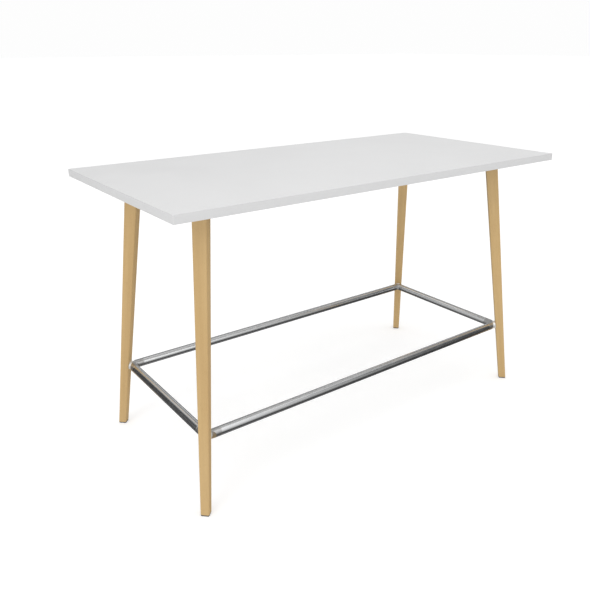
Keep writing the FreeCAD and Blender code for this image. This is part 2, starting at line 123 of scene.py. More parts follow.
def turned(profile, columns=96):
    """A profile of (height, radius) pairs carried round the Z axis.

    The point at height h, radius r and angle t is (r cos t, r sin t, h). A radius may
    also be an array with one number for each column.
    """
    turn = full_turn(columns)
    height = np.array([h for h, _ in profile], float)[:, None] + 0 * turn
    radius = np.array([np.broadcast_to(r, columns) for _, r in profile], float)
    return np.stack([radius * np.cos(turn), radius * np.sin(turn), height], axis=-1)


def hexagon(flat, turn):
    """Radius of a hexagon with `flat` from its middle to a side, at the angles `turn`.

    It is flat / cos(angle from the middle of the nearest side).
    """
    off = (turn + np.pi / 6) % (np.pi / 3) - np.pi / 6
    return flat / np.cos(off)


def round_rectangle(half_x, half_y, radius, steps=7):
    """Points round a rectangle with round corners.

    Each corner is a quarter circle about the point that lies one radius inside both
    sides. half_x, half_y and radius hold one number for each row.
    """
    quarter = np.linspace(0, np.pi / 2, steps)
    turn = (np.arange(4)[:, None] * np.pi / 2 + quarter).ravel()
    side_x = np.repeat([1, -1, -1, 1], steps)
    side_y = np.repeat([1, 1, -1, -1], steps)
    half_x, half_y, radius = (v.reshape(-1, 1) for v in (half_x, half_y, radius))
    x = side_x * (half_x - radius) + radius * np.cos(turn)
    y = side_y * (half_y - radius) + radius * np.sin(turn)
    return x, y


def stack_rows(x, y, z):
    """Rows of points from x and y (rows, columns) and one height z for each row."""
    z = np.broadcast_to(z.reshape(-1, 1), x.shape)
    return np.stack([x, y, z], axis=-1)


def thread(radius, pitch, low, high, depth, columns):
    """A screw thread about the Z axis.

    The radius swings from crest to root and back once in each pitch of height, and the
    crest climbs one pitch in each turn. Crest and root are clipped flat, and the thread
    fades into the root at both ends.
    """
    rows_to_a_pitch, steepness, root_share = 8, 1.3, 0.15
    rows = int((high - low) / pitch * rows_to_a_pitch) + 1
    height = np.linspace(low, high, rows)[:, None]
    turn = np.arange(columns) / columns
    swing = np.abs((height / pitch - turn) % 1 * 2 - 1)
    crest = np.clip(steepness * swing - root_share, 0, 1)
    fade = np.clip((height - low) / pitch, 0, 1) * np.clip((high - height) / pitch, 0, 1)
    across = radius - depth * (1 - crest * fade)
    return np.stack(
        [across * np.cos(2 * np.pi * turn), across * np.sin(2 * np.pi * turn),
         height + 0 * across], axis=-1)


def about_axis(points, origin, direction):
    """Carries points worked out about the Z axis to an axis in the corner's XZ plane."""
    ahead = np.array([direction[0], 0.0, direction[1]]) / math.hypot(*direction)
    side = np.array([0.0, 1.0, 0.0])
    up = np.cross(ahead, side)
    x, y, z = points[..., :1], points[..., 1:2], points[..., 2:]
    return np.array([origin[0], 0.0, origin[1]]) + x * side + y * up + z * ahead


def at_corner(points, corner):
    """Turns a corner's own frame to point along its diagonal and sets it in place."""
    to_x, to_y = CORNERS[corner]
    c, s = to_x / ROOT_2, to_y / ROOT_2
    x, y, z = points[..., 0], points[..., 1], points[..., 2]
    return np.stack(
        [to_x * CORNER_X + c * x - s * y, to_y * CORNER_Y + s * x + c * y, z], axis=-1)


def at_corners(points, along=False):
    """The same shape at each of the four corners."""
    return [surface(at_corner(points, corner), along=along) for corner in CORNERS]


def along_sides(bar, half_x, half_y, setback, height):
    """A bar along each side of a rectangle, as pairs of the side and the bar's surface.

    `bar(half)` gives the points of a bar from -half to half along the Z axis. Each bar
    stops `setback` short of the rectangle's corners.
    """
    for side, (to_x, to_y) in SIDES.items():
        half, order = (half_x, [2, 0, 1]) if to_y else (half_y, [0, 2, 1])
        middle = [to_x * half_x, to_y * half_y, height]
        yield side, surface(bar(half - setback)[..., order] + middle, along=True)


def merged(mesh):
    """Opens a mesh for editing, with the points that meet merged."""
    joined = bmesh.new()
    joined.from_mesh(mesh)
    bmesh.ops.remove_doubles(joined, verts=joined.verts, dist=MERGE_WITHIN)
    return joined


def set_out(mesh, finish, body, nodes, sharp):
    """Shades a finished mesh, gives it its finish and sets it out as a piece."""
    mesh.shade_smooth()
    mesh.set_sharp_from_angle(angle=math.radians(sharp))
    mesh.materials.clear()
    mesh.materials.append(finish)
    piece = bpy.data.objects.new(mesh.name, mesh)
    bpy.context.scene.collection.objects.link(piece)
    if nodes:
        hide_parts(*nodes)
    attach(piece, body)
    return piece


def make_piece(name, surfaces, finish, body="table", nodes=(), sharp=HARD_EDGE,
               marks=None):
    """Joins surfaces into one mesh, in metres, with its seams and poles closed.

    Points that meet are merged, which also closes the poles, and the faces are turned
    outwards. Edges sharper than `sharp` degrees stay sharp. `marks` is one vector for
    each point, kept as the attribute "grain".
    """
    starts = np.cumsum([0] + [len(points) for points, _ in surfaces])
    points = np.concatenate([points for points, _ in surfaces]) * IN_METRES
    faces = np.concatenate([quads + start for (_, quads), start in zip(surfaces, starts)])
    mesh = bpy.data.meshes.new(name)
    mesh.vertices.add(len(points))
    mesh.vertices.foreach_set("co", points.astype(np.float32).ravel())
    mesh.loops.add(faces.size)
    mesh.loops.foreach_set("vertex_index", faces.ravel().astype(np.int32))
    mesh.polygons.add(len(faces))
    mesh.polygons.foreach_set("loop_start", np.arange(0, faces.size, 4, dtype=np.int32))
    mesh.update(calc_edges=True)
    if marks is not None:
        grain = mesh.attributes.new("grain", "FLOAT_VECTOR", "POINT")
        grain.data.foreach_set("vector", (marks * IN_METRES).astype(np.float32).ravel())
    joined = merged(mesh)
    bmesh.ops.recalc_face_normals(joined, faces=joined.faces)
    joined.to_mesh(mesh)
    joined.free()
    mesh.validate()
    return set_out(mesh, finish, body, nodes, sharp)


def soften(piece, width):
    """Rounds a piece's sharp edges by a small width, in millimetres."""
    bevel = piece.modifiers.new("soft_edges", "BEVEL")
    bevel.width = width * IN_METRES
    bevel.segments = 2
    bevel.limit_method = "ANGLE"
    bevel.angle_limit = math.radians(40)
    bevel.harden_normals = True


# ---------------------------------------------------------------- finishes

# the darker and the lighter tone of each finish
TONES = {
    "white_laminate": ((0.802, 0.803, 0.806, 1), (0.823, 0.824, 0.825, 1)),
    # painted shade: the edging's tones are greyer than the laminate's, for the shade on the
    # upright edges
    "white_edging": ((0.620, 0.621, 0.624, 1), (0.645, 0.646, 0.648, 1)),
    "lacquered_beech": ((0.517, 0.342, 0.146, 1), (0.599, 0.413, 0.187, 1)),
    "powder_coat": ((0.235, 0.245, 0.255, 1), (0.285, 0.295, 0.305, 1)),
    "bright_chrome": ((0.77, 0.78, 0.79, 1), (0.84, 0.845, 0.85, 1)),
    "cast_chrome": ((0.56, 0.56, 0.555, 1), (0.64, 0.635, 0.63, 1)),
    "satin_plating": ((0.80, 0.80, 0.79, 1), (0.88, 0.88, 0.86, 1)),
    "bright_zinc": ((0.78, 0.80, 0.80, 1), (0.88, 0.89, 0.88, 1)),
    "zinc_plating": ((0.50, 0.51, 0.52, 1), (0.64, 0.64, 0.62, 1)),
    "moulded_nylon": ((0.085, 0.085, 0.087, 1), (0.125, 0.125, 0.126, 1)),
}
# painted shade: the grey of the top's underside stands in for the shade under the top
UNDERSIDE_SHADE_GREY = (0.56, 0.56, 0.555, 1)
FIBRE_BROWN = (0.448, 0.276, 0.109, 1)
RAY_BROWN = (0.395, 0.226, 0.086, 1)
CLOUD_YELLOW = (0.619, 0.438, 0.214, 1)


class Wire:
    """One output of a node. Arithmetic on it adds Math nodes."""

    def __init__(self, board, socket):
        self.board = board
        self.socket = socket

    def __add__(self, other):
        return self.board.maths("ADD", self, other)

    def __radd__(self, other):
        return self.board.maths("ADD", other, self)

    def __sub__(self, other):
        return self.board.maths("SUBTRACT", self, other)

    def __rsub__(self, other):
        return self.board.maths("SUBTRACT", other, self)

    def __mul__(self, other):
        return self.board.maths("MULTIPLY", self, other)

    def __rmul__(self, other):
        return self.board.maths("MULTIPLY", other, self)


class Board:
    """A node tree in the making."""

    def __init__(self, tree):
        self.tree = tree

    def add(self, kind, settings=None, sockets=None, output=0):
        """Adds a node, sets its settings first and its sockets after, and wires one output."""
        node = self.tree.nodes.new(kind)
        for name, setting in (settings or {}).items():
            setattr(node, name, setting)
        for name, source in (sockets or {}).items():
            self.feed(node.inputs[name], source)
        return Wire(self, node.outputs[output])

    def feed(self, socket, source):
        """Links a wire to a socket, or sets the socket's own value."""
        if isinstance(source, Wire):
            self.tree.links.new(source.socket, socket)
        else:
            socket.default_value = source

    def maths(self, operation, first, second=0.0):
        """One Math node."""
        settings = {"operation": operation}
        return self.add("ShaderNodeMath", settings, {0: first, 1: second})

    def span(self, source, low, high, to_low=0, to_high=1):
        """Carries the span low to high of a value to another span, without overshoot."""
        sockets = {0: source, 1: low, 2: high, 3: to_low, 4: to_high}
        return self.add("ShaderNodeMapRange", {"clamp": True}, sockets)

    def mix(self, share, first, second):
        """Mixes two colours."""
        settings = {"data_type": "RGBA"}
        return self.add("ShaderNodeMix", settings, {0: share, 6: first, 7: second}, output=2)


class Finish(Board):
    """A material in the making: its shader and the nodes that feed it."""

    def __init__(self, name, **steady):
        self.material = bpy.data.materials.new(name)
        self.material.use_nodes = True
        super().__init__(self.material.node_tree)
        self.shader = self.tree.nodes["Principled BSDF"]
        for socket, setting in steady.items():
            self.shader.inputs[socket.replace("_", " ")].default_value = setting

    def place(self, scale=(1, 1, 1), attribute=None):
        """Where a pattern is read: the piece's own coordinates, stretched by `scale`."""
        if attribute:
            source = self.add("ShaderNodeAttribute", {"attribute_name": attribute}, output=1)
        else:
            source = self.add("ShaderNodeTexCoord", output="Object")
        return self.add("ShaderNodeMapping", {}, {"Vector": source, "Scale": scale})

    def noise(self, place, scale=1.0, detail=2.0, roughness=0.5):
        """Cloudy noise from 0 to 1."""
        sockets = {"Vector": place, "Scale": scale, "Detail": detail, "Roughness": roughness}
        return self.add("ShaderNodeTexNoise", {}, sockets)

    def tone(self, share):
        """The finish's own colour, from its darker tone to its lighter one."""
        return self.mix(share, *TONES[self.material.name])

    def relief(self, height, depth, strength):
        """Small relief that is `depth` metres high."""
        sockets = {"Height": height, "Distance": depth, "Strength": strength}
        bump = self.add("ShaderNodeBump", {}, sockets)
        self.feed(self.shader.inputs["Normal"], bump)

    def done(self, **sources):
        """Feeds the shader's sockets and gives the material."""
        for socket, source in sources.items():
            self.feed(self.shader.inputs[socket.replace("_", " ")], source)
        return self.material


def white_laminate():
    """Matt white laminate: pearl-fine relief, faint clouds in its white and its gloss.

    The underside is painted grey as painted shade, for the shade under the top, and is told by
    its height in metres.
    """
    finish = Finish("white_laminate", Specular_IOR_Level=0.35)
    here = finish.place()
    clouds = finish.noise(here, scale=2.2, detail=3)
    speck = finish.noise(here, scale=900)
    colour = finish.tone(finish.span(clouds + speck * 0.35, 0.45, 0.95))
    height = finish.add("ShaderNodeSeparateXYZ", {}, {"Vector": here}, output="Z")
    underside = UNDERSIDE * IN_METRES
    # painted shade: at the underside's height the white is mixed to grey
    below = finish.span(height, underside + 0.0002, underside + 0.0004, 1, 0)
    colour = finish.mix(below, colour, UNDERSIDE_SHADE_GREY)
    pearl = finish.noise(here, scale=1300, roughness=0.6)
    finish.relief(pearl, depth=0.00006, strength=0.5)
    sheen = finish.noise(here, scale=7, detail=4, roughness=0.6)
    return finish.done(Base_Color=colour, Roughness=finish.span(sheen, 0.3, 0.7, 0.34, 0.43))


def white_edging():
    """White plastic edging: fine scraper lines along it, and its white painted greyer than the
    laminate's as painted shade on the upright edges.
    """
    finish = Finish("white_edging", Specular_IOR_Level=0.45)
    here = finish.place()
    lines = finish.noise(finish.place((9, 9, 1400)), detail=3, roughness=0.6)
    colour = finish.tone(finish.span(lines, 0.3, 0.7))
    peel = finish.noise(here, scale=1500)
    finish.relief(lines * 0.7 + peel * 0.3, depth=0.00005, strength=0.5)
    sheen = finish.noise(here, scale=30, detail=3)
    return finish.done(Base_Color=colour, Roughness=finish.span(sheen, 0.3, 0.7, 0.36, 0.46))


def lacquered_beech():
    """Pale beech under satin lacquer, with its grain along the leg.

    Soft growth bands and long fibres run along the leg, short darker rays lie in them,
    and the lacquer follows the pores a little.
    """
    finish = Finish("lacquered_beech", Specular_IOR_Level=0.4, Coat_Roughness=0.3)

    def figure(scale, detail, roughness):
        return finish.noise(finish.place(scale, "grain"), 1, detail, roughness)

    bands = figure((34, 34, 0.9), 3, 0.55)
    fibres = figure((700, 700, 14), 3, 0.6)
    rays = figure((1000, 1000, 160), 1, 0.4)
    pores = figure((2600, 2600, 60), 2, 0.5)
    clouds = figure((9, 9, 2.5), 2, 0.5)
    wood = finish.tone(finish.span(bands, 0.32, 0.68))
    wood = finish.mix(finish.span(fibres, 0.35, 0.75, 0, 0.35), wood, FIBRE_BROWN)
    wood = finish.mix(finish.span(rays, 0.62, 0.72, 0, 0.45), wood, RAY_BROWN)
    wood = finish.mix(finish.span(clouds, 0.3, 0.7, 0, 0.25), wood, CLOUD_YELLOW)
    finish.relief(fibres * 0.4 + pores * 0.6, depth=0.00005, strength=0.6)
    gloss = finish.span(fibres, 0.3, 0.7, 0.40, 0.52)
    coat = finish.span(clouds, 0.3, 0.7, 0.12, 0.2)
    return finish.done(Base_Color=wood, Roughness=gloss, Coat_Weight=coat)


def chrome(name, smooth, dull, depth):
    """Chrome plating: polishing haze, faint clouds and a slightly wavy ground.

    Its roughness wanders from `smooth` to `dull`.
    """
    finish = Finish(name, Metallic=1.0)
    haze = finish.noise(finish.place(), scale=26, detail=4, roughness=0.6)
    lines = finish.noise(finish.place((260, 260, 1600)), roughness=0.6)
    colour = finish.tone(finish.span(haze, 0.3, 0.7))
    finish.relief(lines * 0.5 + haze * 0.5, depth, strength=0.35)
    gloss = finish.span(haze + lines * 0.3, 0.4, 0.9, smooth, dull)
    return finish.done(Base_Color=colour, Roughness=gloss)


def powder_coat():
    """Grey powder coat: fine orange peel and a dull, even gloss."""
    finish = Finish("powder_coat", Specular_IOR_Level=0.45)
    here = finish.place()
    peel = finish.noise(here, scale=1100)
    clouds = finish.noise(here, scale=14, detail=3)
    colour = finish.tone(finish.span(clouds + peel * 0.3, 0.4, 0.9))
    finish.relief(peel, depth=0.0001, strength=0.7)
    return finish.done(Base_Color=colour, Roughness=finish.span(peel, 0.3, 0.7, 0.46, 0.6))


def metal(name, smooth, dull, scale, metallic=1.0):
    """A plated or turned metal: cloudy tone, and a gloss that wanders with it.

    A `metallic` under 1 makes it paler and flatter, as a milky plating is.
    """
    finish = Finish(name, Metallic=metallic)
    here = finish.place()
    clouds = finish.noise(here, scale, detail=4, roughness=0.6)
    grain = finish.noise(here, scale * 9, roughness=0.6)
    colour = finish.tone(finish.span(clouds + grain * 0.3, 0.4, 0.9))
    finish.relief(grain, depth=0.00003, strength=0.5)
    gloss = finish.span(clouds, 0.3, 0.7, smooth, dull)
    return finish.done(Base_Color=colour, Roughness=gloss)


def moulded_nylon():
    """Dark moulded nylon: spark-eroded relief and scuffed gloss."""
    finish = Finish("moulded_nylon", Specular_IOR_Level=0.4)
    spark = finish.noise(finish.place(), scale=2200, roughness=0.6)
    scuff = finish.noise(finish.place((300, 300, 60)), detail=3)
    colour = finish.tone(finish.span(scuff, 0.35, 0.7))
    finish.relief(spark, depth=0.00005, strength=0.6)
    return finish.done(Base_Color=colour, Roughness=finish.span(scuff, 0.3, 0.7, 0.42, 0.58))


# ---------------------------------------------------------------- top


def band_section():
    """The outline of an edge band, as (inwards, height) from its inner to its inner side.

    It runs over the top, round a quarter circle, down the outer face, round another
    quarter circle and back below.
    """
    quarter = np.linspace(0, np.pi / 2, 5)
    inwards = BAND_ROUND * (1 - np.sin(quarter))
    drop = BAND_ROUND * (1 - np.cos(quarter))
    top = np.stack([inwards, TOP_HEIGHT - drop], axis=-1)
    low = np.stack([inwards[::-1], UNDERSIDE + drop[::-1]], axis=-1)
    return np.concatenate([[[BAND, TOP_HEIGHT]], top, low, [[BAND, UNDERSIDE]]])


def edge_band(outer, inner):
    """A band whose section is carried along from `outer` points towards `inner` points.

    Each section point lies at share inwards / BAND of the way from outer to inner.
    """
    section = band_section()
    share = (section[:, 0] / BAND)[None, :, None]
    flat = outer[:, None] * (1 - share) + inner[:, None] * share
    height = np.broadcast_to(section[:, 1], flat.shape[:2])
    rows = np.concatenate([flat, height[..., None]], axis=-1)
    middle = rows.mean(axis=1, keepdims=True) + np.zeros_like(rows)
    return surface(np.concatenate([middle[:1], rows, middle[-1:]]))


def band_path(to_x, to_y):
    """The outer and the inner line of the band on one side, seen from above.

    The ends of a long band turn round the top's corners in quarter circles, and a short
    band runs straight between them.
    """
    reach, depth = TOP_HALF_LENGTH - BAND, TOP_HALF_WIDTH - BAND
    if to_x:
        along = np.linspace(-depth, depth, 9)
        outer = np.stack([np.full(9, to_x * TOP_HALF_LENGTH), along], axis=-1)
        return outer, outer - [to_x * BAND, 0]
    turn = np.linspace(np.pi, np.pi / 2, 7)
    left = np.stack([-reach + BAND * np.cos(turn), depth + BAND * np.sin(turn)], axis=-1)
    middle = np.linspace(-reach, reach, 13)[1:-1]
    middle = np.stack([middle, np.full(len(middle), depth + BAND)], axis=-1)
    outer = np.concatenate([left, middle, left[::-1] * [-1, 1]])
    inner = np.stack([np.clip(outer[:, 0], -reach, reach), np.full(len(outer), depth)], axis=-1)
    return outer * [1, to_y], inner * [1, to_y]


def dress_top(finishes):
    """The board keeps its solid; the four edge bands get round edges and corners."""
    for side, towards in SIDES.items():
        make_piece(f"edging_{side}", [edge_band(*band_path(*towards))],
                   finishes["edge_band"], nodes=[f"edge_band_{side}"])


# ---------------------------------------------------------------- legs


def leg_shape():
    """A leg from its bored foot to its head, leaning as it stands and also straight.

    At height z the section is a round-cornered square whose half side shrinks from head
    to foot, about a middle that moves outwards in proportion to the drop. The arrises at
    both ends are broken by a small chamfer, and the foot's bore is a round hole.
    """
    height, cut = np.array([
        (LEG_END, FOOT_BREAK), (LEG_END + 0.3, FOOT_BREAK / 2), (LEG_END + FOOT_BREAK, 0),
        *[(h, 0) for h in np.linspace(60, LEG_TOP - 40, 16)],
        (LEG_TOP - HEAD_BREAK, 0), (LEG_TOP, HEAD_BREAK)]).T
    drop = (LEG_TOP - height) / LEG_LENGTH
    half = LEG_HEAD / 2 + (LEG_FOOT - LEG_HEAD) / 2 * drop - cut
    x, y = round_rectangle(half, half, LEG_ROUND - cut / 2)
    bearing = np.arctan2(y[0], x[0])
    bore_x, bore_y = SLEEVE_BORE * np.cos(bearing), SLEEVE_BORE * np.sin(bearing)
    x = np.concatenate([[0 * bore_x, bore_x, bore_x], x, [0 * bore_x]])
    y = np.concatenate([[0 * bore_y, bore_y, bore_y], y, [0 * bore_y]])
    height = np.array([SLEEVE_BORE_TOP, SLEEVE_BORE_TOP, LEG_END, *height, LEG_TOP])
    straight = stack_rows(x, y, height)
    middle = FOOT_OUT * (LEG_TOP - height) / LEG_LENGTH
    middle[:3] = FOOT_OUT
    leaning = straight.copy()
    leaning[..., 0] += middle[:, None]
    return leaning, straight


def dress_legs(finishes):
    """Each leg is cut from another part of the same plank, so no two grains are alike."""
    plank_step = np.array([317.0, 151.0, 2300.0])
    leaning, straight = leg_shape()
    for number, corner in enumerate(CORNERS):
        make_piece(f"wooden_leg_{corner}", [surface(at_corner(leaning, corner))],
                   finishes["leg_wood"], nodes=[f"leg_{corner}"],
                   marks=straight.reshape(-1, 3) + plank_step * (number + 1))


# ---------------------------------------------------------------- foot rail


def polished_tube(half):
    """A tube from -half to half: a closed ring of outer wall, chamfered ends and bore."""
    bore, edge = REST_RADIUS - REST_WALL, REST_RADIUS - SEAM_BREAK
    return turned([
        (-half, bore + BORE_BREAK), (-half, edge), (-half + SEAM_BREAK, REST_RADIUS),
        *[(h, REST_RADIUS) for h in np.linspace(-half, half, 13)[1:-1]],
        (half - SEAM_BREAK, REST_RADIUS), (half, edge), (half, bore + BORE_BREAK),
        (half - BORE_BREAK, bore), (-half + BORE_BREAK, bore)], 128)


def dress_tubes(finishes):
    """Four polished tubes between the connectors."""
    for side, tube in along_sides(
            polished_tube, REST_X, REST_Y, CONNECTOR_REACH, REST_HEIGHT):
        make_piece(f"rest_tube_{side}", [tube], finishes["chrome"],
                   nodes=[f"foot_rail_{side}"])


def barrel_end(across, height):
    """How far one barrel of a connector runs, for a point of its round section.

    `across` is outwards from the barrel's middle line. The barrel ends on the mitre with
    the other barrel (along = across) or on the diagonal flat (along + across = a
    constant), whichever comes first, and at the inner corner on the mouth of the
    counterbore, a circle about the diagonal.
    """
    end = np.minimum(across, -FLAT_SETBACK * ROOT_2 - across)
    mouth = np.sqrt(np.clip(COUNTERBORE ** 2 - height ** 2, 0, None))
    return np.where(across < 0, np.minimum(end, across - ROOT_2 * mouth), end)


def connector_half():
    """One barrel with its spigot, and its half of the flat and of the counterbore.

    Its points are (along, across, height) from the crossing of the two tubes' middle
    lines, along and across both outwards. Its columns include the corners where mitre,
    flat and mouth meet, so that both halves share their points.
    """
    near = 1e-9
    low = math.asin(-FLAT_SETBACK / ROOT_2 / REST_RADIUS)
    mouth = math.asin(COUNTERBORE / REST_RADIUS)
    upper = np.concatenate([
        np.linspace(-np.pi / 2, -np.pi / 2 + mouth, 10),
        np.linspace(-np.pi / 2 + mouth, low, 16)[1:],
        np.linspace(low, np.pi / 2, 34)[1:]])
    turn = np.concatenate([upper, np.pi - upper[-2:0:-1]])
    sine, cosine = np.sin(turn), np.cos(turn)
    end = barrel_end(REST_RADIUS * sine, REST_RADIUS * cosine)
    seam = -CONNECTOR_REACH
    tip = seam - SPIGOT_LENGTH
    start = seam + SEAM_BREAK
    along, radius = np.array([
        (tip, 0.0), (tip, SPIGOT_RADIUS - SPIGOT_BREAK), (tip + SPIGOT_BREAK, SPIGOT_RADIUS),
        (seam, SPIGOT_RADIUS), (seam, REST_RADIUS - SEAM_BREAK), (start, REST_RADIUS)
    ]).T[..., None] + 0 * turn
    share = np.linspace(0, 1, 7)[1:, None]
    along = np.concatenate([along, start * (1 - share) + end * share])
    radius = np.concatenate([radius, REST_RADIUS + 0 * share + 0 * turn])
    barrel = np.stack([along, radius * sine, radius * cosine], axis=-1)
    rim = barrel[-1]
    outer = rim[sine >= math.sin(low) - near]
    centre = np.array([-FLAT_SETBACK, -FLAT_SETBACK, 0]) / ROOT_2
    flat = np.stack([outer, 0 * outer + centre])
    inside = (np.abs(rim[:, 2]) <= COUNTERBORE + near) & (sine < 0)
    order = np.argsort(rim[inside][:, 2])
    lip = rim[inside][order]
    shift = (-(FLAT_SETBACK + BOLT_WEB) * ROOT_2 - lip[:, 0] - lip[:, 1]) / 2
    seat = lip + shift[:, None] * [1, 1, 0]
    middle = centre * (FLAT_SETBACK + BOLT_WEB) / FLAT_SETBACK
    bore = np.stack([lip, seat, 0 * seat + middle])
    return [(barrel, True), (flat, False), (bore, False)]


def dress_connectors(finishes):
    """Two barrels at a right angle, the flat across their corner and the counterbore."""
    for corner, (to_x, to_y) in CORNERS.items():
        shapes = []
        for points, around in connector_half():
            for swap in ([0, 1, 2], [1, 0, 2]):
                shape = (points[..., swap] + [REST_X, REST_Y, REST_HEIGHT]) * [to_x, to_y, 1]
                shapes.append(surface(shape, around=around))
        piece = make_piece(f"rest_corner_{corner}", shapes, finishes["corner"],
                           nodes=[f"corner_connector_{corner}"])
        soften(piece, 0.3)


def dress_collars(finishes):
    """A round spacer whose outer end is cut aslant to the leaning face of the leg.

    A point at height h above its axis ends at the leg's face, which lies FACE_LEAN x h
    nearer to the table's middle. Both rims are rounded by quarter circles.
    """
    quarter = np.linspace(np.pi / 2, 0, 5)
    rim = [(COLLAR_ROUND * (1 - np.sin(q)), COLLAR_RADIUS - COLLAR_ROUND * (1 - np.cos(q)))
           for q in quarter]
    far_rim = [(COLLAR_LENGTH - z, r) for z, r in rim[::-1]]
    shape = turned([(0, COLLAR_BORE), *rim, *far_rim, (COLLAR_LENGTH, COLLAR_BORE)], 112)
    share = shape[..., 2:] / COLLAR_LENGTH
    placed = about_axis(shape, (FLAT_ALONG, REST_HEIGHT), (1, 0))
    placed[..., :1] -= share * FACE_LEAN * (placed[..., 2:] - REST_HEIGHT)
    make_piece("rest_spacers", at_corners(placed, along=True), finishes["collar"],
               nodes=["rail_collars"])


def dress_rest_bolts(finishes):
    """Cap bolts: a knurled head with a hexagon socket, and a plain shank.

    The knurl is a cosine wave of KNURLS ridges round the head.
    """
    columns = 192
    turn = full_turn(columns)
    knurl = BOLT_HEAD - KNURL_DEPTH * (1 + np.cos(KNURLS * turn)) / 2
    key = hexagon(KEY_FLAT, turn)
    top = -BOLT_HEAD_HEIGHT
    shape = turned([
        (top + KEY_DEPTH + 0.8, 0), (top + KEY_DEPTH, key * 0.98), (top + 0.35, key),
        (top, key + 0.3), (top, BOLT_HEAD - 0.9), (top + 0.15, BOLT_HEAD - 0.45),
        (top + 0.6, BOLT_HEAD - 0.12), (top + 1.0, knurl), (-0.4, knurl),
        (0, BOLT_HEAD - 0.4), (0, BOLT_RADIUS), (BOLT_LENGTH - 1, BOLT_RADIUS),
        (BOLT_LENGTH, BOLT_RADIUS - 1), (BOLT_LENGTH, 0)], columns)
    placed = about_axis(shape, (FLAT_ALONG - BOLT_WEB, REST_HEIGHT), (1, 0))
    make_piece("cap_bolts", at_corners(placed), finishes["cap"],
               nodes=["rest_bolts"])


# ---------------------------------------------------------------- underframe


def drawn_tube(half):
    """A rectangular tube from -half to half, with drawn round edges and open ends.

    Its first and last row lie on the inner wall, and the other rows on the outer one.
    """
    reach = np.array([-half, *np.linspace(-half, half, 9), half])
    inside = np.zeros(len(reach))
    inside[[0, -1]] = RAIL_WALL
    x, y = round_rectangle(
        RAIL_WIDTH / 2 - inside, RAIL_DEPTH / 2 - inside, RAIL_ROUND - inside, 6)
    return stack_rows(x, y, reach)


def dress_rails(finishes):
    """Rectangular steel tubes between the brackets' arms."""
    middle = (UNDERSIDE + FRAME_BOTTOM) / 2
    for side, tube in along_sides(drawn_tube, HUB_X, HUB_Y, HUB_REACH, middle):
        length = "long" if side in ("front", "back") else "short"
        make_piece(f"frame_rail_{side}", [tube], finishes["underframe"],
                   nodes=[f"{length}_rail_{side}"])


def dress_brackets(frame, finishes):
    """The welded brackets keep their solids' shape, with soft sheared edges."""
    for corner in CORNERS:
        node = f"corner_bracket_{corner}"
        mesh = frame["nodes"][node].data.copy()
        mesh.name = f"welded_bracket_{corner}"
        joined = merged(mesh)
        bmesh.ops.dissolve_limit(
            joined, angle_limit=math.radians(1), verts=joined.verts, edges=joined.edges)
        joined.to_mesh(mesh)
        joined.free()
        piece = set_out(mesh, finishes["underframe"], "table", [node], HARD_EDGE)
        soften(piece, 0.5)


def weld_bead(start, end, radius, tilt=(0, 0, 1)):
    """A bead of weld from start to end: a round section that swells with each ripple.

    The section's radius is radius x (calm + swing x |sin|) of the way along, with one
    ripple for each 1.6 mm. Within a run-out of 1.5 radii it falls to nothing at both
    ends. The section is dragged ahead above and below its middle.
    """
    step, ripple, calm, swing, run_out, drag_share = 0.4, 1.6, 0.86, 0.14, 1.5, 0.35
    start, end = np.array(start, float), np.array(end, float)
    length = np.linalg.norm(end - start)
    ahead = (end - start) / length
    side = np.cross(ahead, tilt)
    side = side / np.linalg.norm(side)
    up = np.cross(side, ahead)
    way = np.linspace(0, length, int(length / step))[:, None]
    close = np.minimum(way, length - way) / (run_out * radius)
    swell = radius * (calm + swing * np.abs(np.sin(np.pi * way / ripple)))
    swell = swell * np.sqrt(np.clip(close * (2 - np.clip(close, 0, 1)), 0, 1))
    turn = full_turn(14)
    drag = drag_share * swell * np.sin(turn) ** 2
    return (start + (way + drag)[..., None] * ahead
            + (swell * np.cos(turn))[..., None] * side
            + (swell * np.sin(turn))[..., None] * up)


def dress_welds(finishes):
    """Beads between seat and plate, gussets and plate, and arms and rails."""
    seat_bead, plate_bead, gusset_bead, rail_bead = 2.2, 1.8, 1.6, 1.1
    flat_on = (1, 0, 0)
    inner = HEAD_FACE - SEAT_THICKNESS * FACE_SLANT
    low = LEG_TOP - RAIL_DEPTH + 6
    seat = HEAD_FACE + FACE_LEAN * (LEG_TOP - low) - SEAT_THICKNESS * FACE_SLANT / 2
    beads = [weld_bead((inner, -14, LEG_TOP), (inner, 14, LEG_TOP), seat_bead)]
    for edge in (-SEAT_HALF, SEAT_HALF):
        beads.append(weld_bead(
            (-HUB_SETBACK - 2, edge, LEG_TOP), (inner - 3, edge, LEG_TOP), plate_bead))
        beads.append(weld_bead(
            (seat - 2, edge, low), (inner + 2, edge, LEG_TOP - 3), gusset_bead, flat_on))

    def rail_beads(reach, line):
        """Beads up both sides of a rail's end and across its bottom."""
        near, far = line - RAIL_WIDTH / 2, line + RAIL_WIDTH / 2
        bottom, top = FRAME_BOTTOM + 3, UNDERSIDE - 3
        runs = [((reach, near, bottom), (reach, near, top)),
                ((reach, far, bottom), (reach, far, top)),
                ((reach, near + 3, FRAME_BOTTOM), (reach, far - 3, FRAME_BOTTOM))]
        return [weld_bead(start, end, rail_bead, flat_on) for start, end in runs]

    shapes = []
    for corner, (to_x, to_y) in CORNERS.items():
        shapes += [surface(at_corner(bead, corner)) for bead in beads]
        long_end = rail_beads(HUB_X - HUB_REACH, HUB_Y)
        short_end = [bead[..., [1, 0, 2]] for bead in rail_beads(HUB_Y - HUB_REACH, HUB_X)]
        shapes += [surface(bead * [to_x, to_y, 1]) for bead in long_end + short_end]
    make_piece("weld_beads", shapes, finishes["underframe"], sharp=70)


